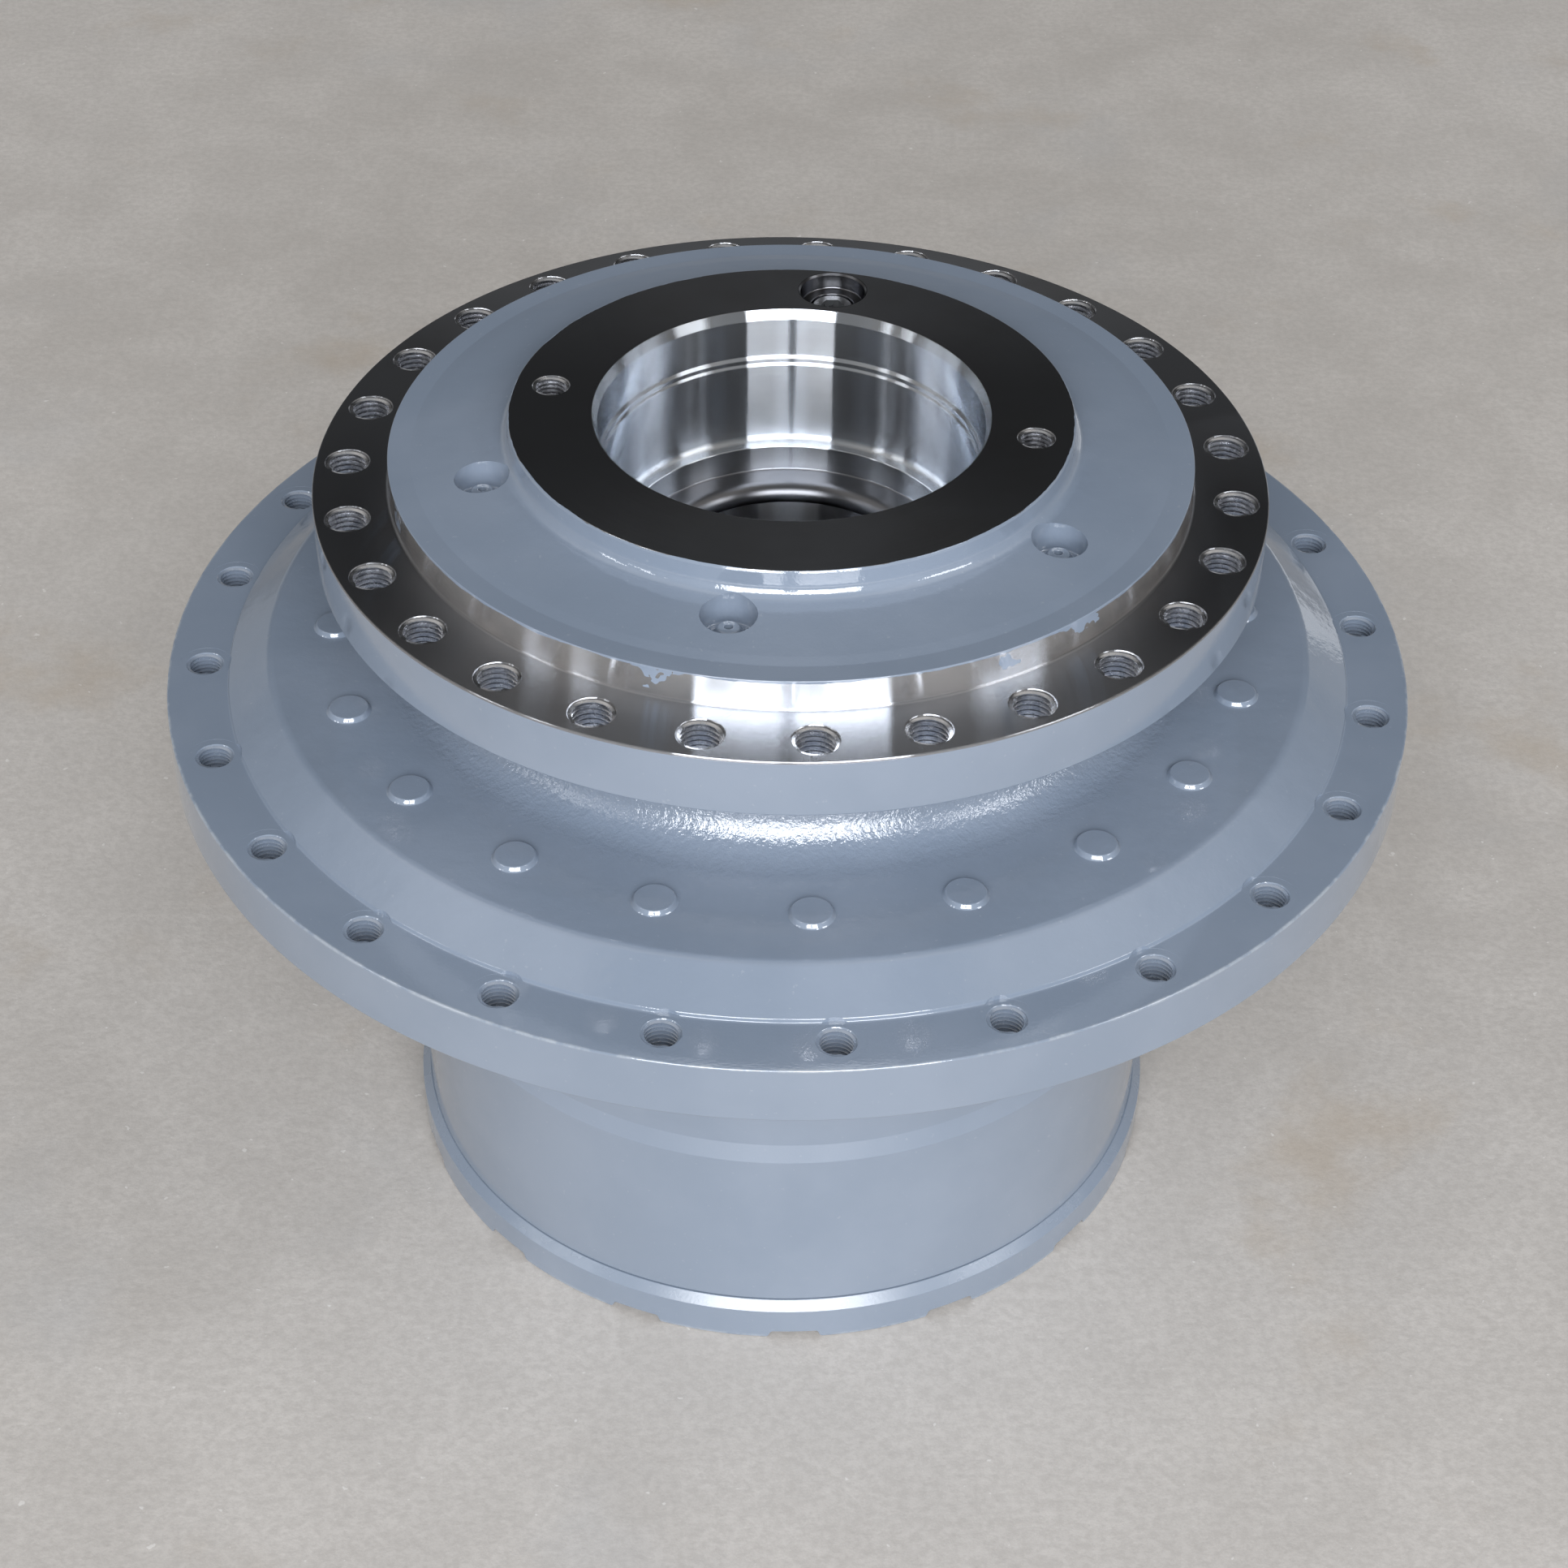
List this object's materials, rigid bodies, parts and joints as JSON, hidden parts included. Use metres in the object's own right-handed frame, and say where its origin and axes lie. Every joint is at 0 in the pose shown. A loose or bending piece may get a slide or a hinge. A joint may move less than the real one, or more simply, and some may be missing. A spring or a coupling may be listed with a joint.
{
  "type": "planetary gear set",
  "caption": "Enclosed two-stage planetary final drive: a flanged drum with an internal ring gear turns on a fixed flanged hub.",
  "frame": {"origin": "on the gear axis, in the plane of the end cover's rim that rests on the floor", "axes": "+Z along the gear axis from the end cover to the hub's motor face; -Y towards the front, where one oil port of the hub sits 10 degrees to the left"},
  "size_m": [0.7, 0.7, 0.489],
  "materials": {
    "hub_paint_and_machined_steel": "semi-gloss grey-blue paint on the casting, bare turned steel on the frame face, boss and bore",
    "drum_paint": "semi-gloss grey-blue paint over a cast surface, bright metal at the flange edges",
    "ring_gear_paint": "semi-gloss grey-blue paint outside, bare ground teeth inside",
    "cover_paint": "grey-blue paint, scuffed to bare metal along the chamfer",
    "hardened_bearing_steel": "ground and polished hardened steel",
    "ground_pin_steel": "ground steel",
    "gear_steel": "case-hardened gear steel with ground flanks and an oil film",
    "cast_carrier": "as-cast ductile iron with machined bores",
    "zinc_plated_steel": "zinc-plated and lightly soiled",
    "bearing_bronze": "turned bearing bronze",
    "seal_rubber": "black nitrile rubber"
  },
  "bodies": {
    "hub": {"hub_spindle": "hub_paint_and_machined_steel", "hub_port_plug": "zinc_plated_steel", "final_carrier": "cast_carrier", "bearing_nut": "zinc_plated_steel", "nut_lock_plate": "zinc_plated_steel", "nut_lock_screw": "zinc_plated_steel", "upper_bearing_inner_race": "hardened_bearing_steel", "lower_bearing_inner_race": "hardened_bearing_steel", "hub_seal_ring": "hardened_bearing_steel", "hub_seal_o_ring": "seal_rubber", "final_planet_pin_1": "ground_pin_steel", "final_planet_pin_2": "ground_pin_steel", "final_planet_pin_3": "ground_pin_steel"},
    "drum": {"drum_housing": "drum_paint", "ring_gear": "ring_gear_paint", "ring_gear_bolts": "zinc_plated_steel", "end_cover": "cover_paint", "cover_o_ring": "seal_rubber", "cover_thrust_pad": "bearing_bronze", "cover_drain_plug": "zinc_plated_steel", "cover_fill_plug": "zinc_plated_steel", "cover_screw_01": "zinc_plated_steel", "cover_screw_02": "zinc_plated_steel", "cover_screw_03": "zinc_plated_steel", "cover_screw_04": "zinc_plated_steel", "cover_screw_05": "zinc_plated_steel", "cover_screw_06": "zinc_plated_steel", "cover_screw_07": "zinc_plated_steel", "cover_screw_08": "zinc_plated_steel", "cover_screw_09": "zinc_plated_steel", "cover_screw_10": "zinc_plated_steel", "cover_screw_11": "zinc_plated_steel", "cover_screw_12": "zinc_plated_steel", "cover_screw_13": "zinc_plated_steel", "cover_screw_14": "zinc_plated_steel", "cover_screw_15": "zinc_plated_steel", "upper_bearing_outer_race": "hardened_bearing_steel", "lower_bearing_outer_race": "hardened_bearing_steel", "drum_seal_ring": "hardened_bearing_steel", "drum_seal_o_ring": "seal_rubber"},
    "upper_rollers": {"upper_bearing_roller_cage": "hardened_bearing_steel"},
    "lower_rollers": {"lower_bearing_roller_cage": "hardened_bearing_steel"},
    "first_stage_carrier": {"first_carrier": "cast_carrier", "final_sun_gear": "gear_steel", "first_planet_pin_1": "ground_pin_steel", "first_planet_pin_2": "ground_pin_steel", "first_planet_pin_3": "ground_pin_steel"},
    "input_sun": {"input_sun_shaft": "gear_steel"},
    "first_planet_gear_1": {"first_planet_1": "gear_steel", "first_planet_bush_1": "bearing_bronze"},
    "first_planet_gear_2": {"first_planet_2": "gear_steel", "first_planet_bush_2": "bearing_bronze"},
    "first_planet_gear_3": {"first_planet_3": "gear_steel", "first_planet_bush_3": "bearing_bronze"},
    "final_planet_gear_1": {"final_planet_1": "gear_steel", "final_planet_bush_1": "bearing_bronze"},
    "final_planet_gear_2": {"final_planet_2": "gear_steel", "final_planet_bush_2": "bearing_bronze"},
    "final_planet_gear_3": {"final_planet_3": "gear_steel", "final_planet_bush_3": "bearing_bronze"}
  },
  "joints": [
    {"name": "drum_rotation", "type": "hinge", "parent": "hub", "child": "drum", "pos_m": [0, 0, 0.3154], "axis": [0, 0, 1], "continuous": true},
    {"name": "upper_rollers_rotation", "type": "hinge", "parent": "hub", "child": "upper_rollers", "pos_m": [0, 0, 0.3554], "axis": [0, 0, 1], "continuous": true},
    {"name": "lower_rollers_rotation", "type": "hinge", "parent": "hub", "child": "lower_rollers", "pos_m": [0, 0, 0.2526], "axis": [0, 0, 1], "continuous": true},
    {"name": "first_carrier_rotation", "type": "hinge", "parent": "hub", "child": "first_stage_carrier", "pos_m": [0, 0, 0.084], "axis": [0, 0, 1], "continuous": true},
    {"name": "input_sun_rotation", "type": "hinge", "parent": "hub", "child": "input_sun", "pos_m": [0, 0, 0.056], "axis": [0, 0, 1], "continuous": true},
    {"name": "final_planet_rotation_1", "type": "hinge", "parent": "hub", "child": "final_planet_gear_1", "pos_m": [0.117, 0, 0.146], "axis": [0, 0, 1], "continuous": true},
    {"name": "final_planet_rotation_2", "type": "hinge", "parent": "hub", "child": "final_planet_gear_2", "pos_m": [-0.0585, 0.10132, 0.146], "axis": [0, 0, 1], "continuous": true},
    {"name": "final_planet_rotation_3", "type": "hinge", "parent": "hub", "child": "final_planet_gear_3", "pos_m": [-0.0585, -0.10132, 0.146], "axis": [0, 0, 1], "continuous": true},
    {"name": "first_planet_rotation_1", "type": "hinge", "parent": "first_stage_carrier", "child": "first_planet_gear_1", "pos_m": [0.117, 0, 0.056], "axis": [0, 0, 1], "continuous": true},
    {"name": "first_planet_rotation_2", "type": "hinge", "parent": "first_stage_carrier", "child": "first_planet_gear_2", "pos_m": [-0.0585, 0.10132, 0.056], "axis": [0, 0, 1], "continuous": true},
    {"name": "first_planet_rotation_3", "type": "hinge", "parent": "first_stage_carrier", "child": "first_planet_gear_3", "pos_m": [-0.0585, -0.10132, 0.056], "axis": [0, 0, 1], "continuous": true}
  ],
  "couplings": [
    {"joint": "upper_rollers_rotation", "follows": "drum_rotation", "ratio": 0.53},
    {"joint": "lower_rollers_rotation", "follows": "drum_rotation", "ratio": 0.53},
    {"joint": "first_carrier_rotation", "follows": "drum_rotation", "ratio": -4.2},
    {"joint": "input_sun_rotation", "follows": "drum_rotation", "ratio": -26.04},
    {"joint": "final_planet_rotation_1", "follows": "drum_rotation", "ratio": 2.625},
    {"joint": "first_planet_rotation_1", "follows": "drum_rotation", "ratio": 13.65},
    {"joint": "final_planet_rotation_2", "follows": "drum_rotation", "ratio": 2.625},
    {"joint": "first_planet_rotation_2", "follows": "drum_rotation", "ratio": 13.65},
    {"joint": "final_planet_rotation_3", "follows": "drum_rotation", "ratio": 2.625},
    {"joint": "first_planet_rotation_3", "follows": "drum_rotation", "ratio": 13.65}
  ]
}
